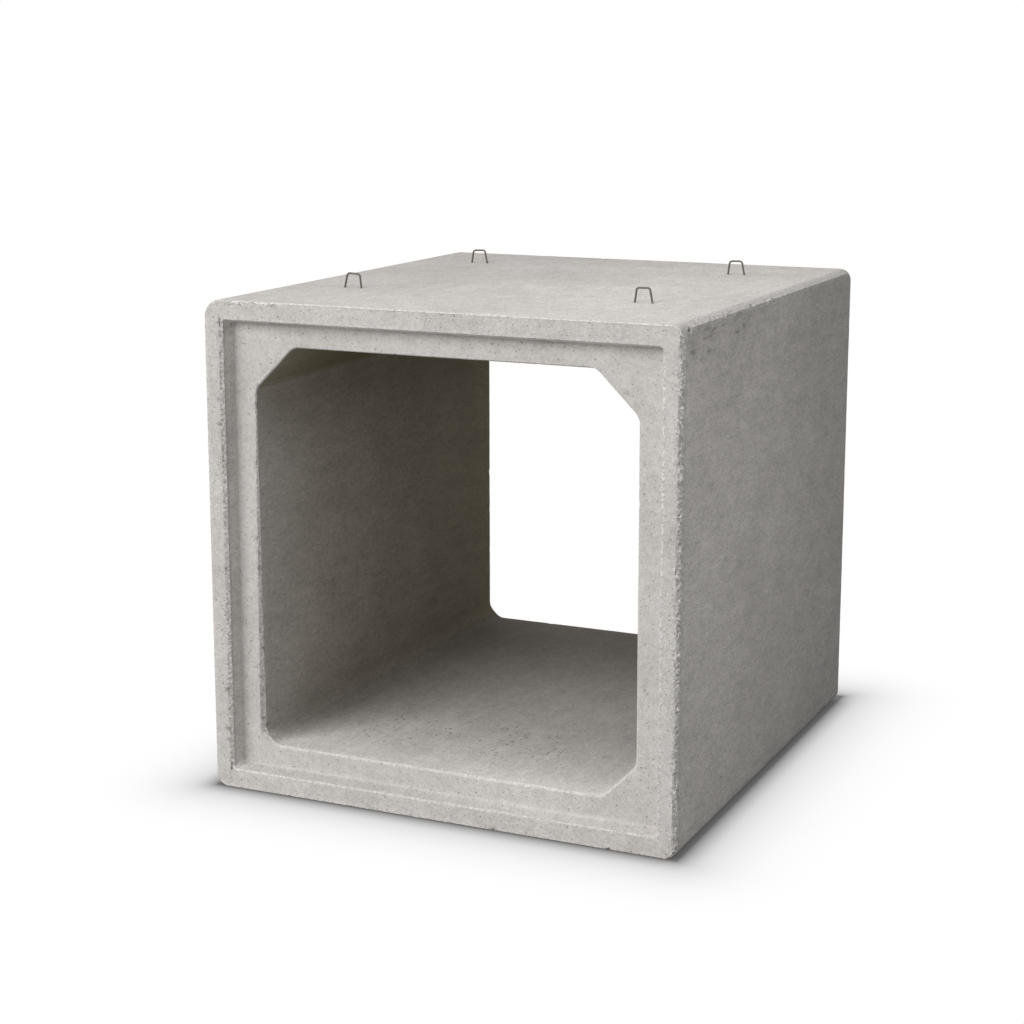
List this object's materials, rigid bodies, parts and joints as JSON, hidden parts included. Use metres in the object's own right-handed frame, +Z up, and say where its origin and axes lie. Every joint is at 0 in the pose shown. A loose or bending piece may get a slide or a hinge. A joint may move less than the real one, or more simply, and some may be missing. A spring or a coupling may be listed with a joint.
{
  "type": "precast concrete box culvert segment",
  "caption": "Precast concrete box culvert segment: square tube with haunched waterway, recessed socket end, spigot end and steel lifting loops in its roof.",
  "frame": {"origin": "on the ground at the middle of the segment's plan, spigot included", "axes": "+X across the culvert to the right, +Y along the waterway from the socket end to the spigot end, +Z up"},
  "size_m": [2.4, 2.67, 2.4751],
  "materials": {
    "concrete": "matte",
    "loop_steel": "satin"
  },
  "bodies": {
    "root": {"culvert_casting": "concrete", "lifting_loop_front_left": "loop_steel", "lifting_loop_front_right": "loop_steel", "lifting_loop_rear_left": "loop_steel", "lifting_loop_rear_right": "loop_steel"}
  },
  "joints": []
}
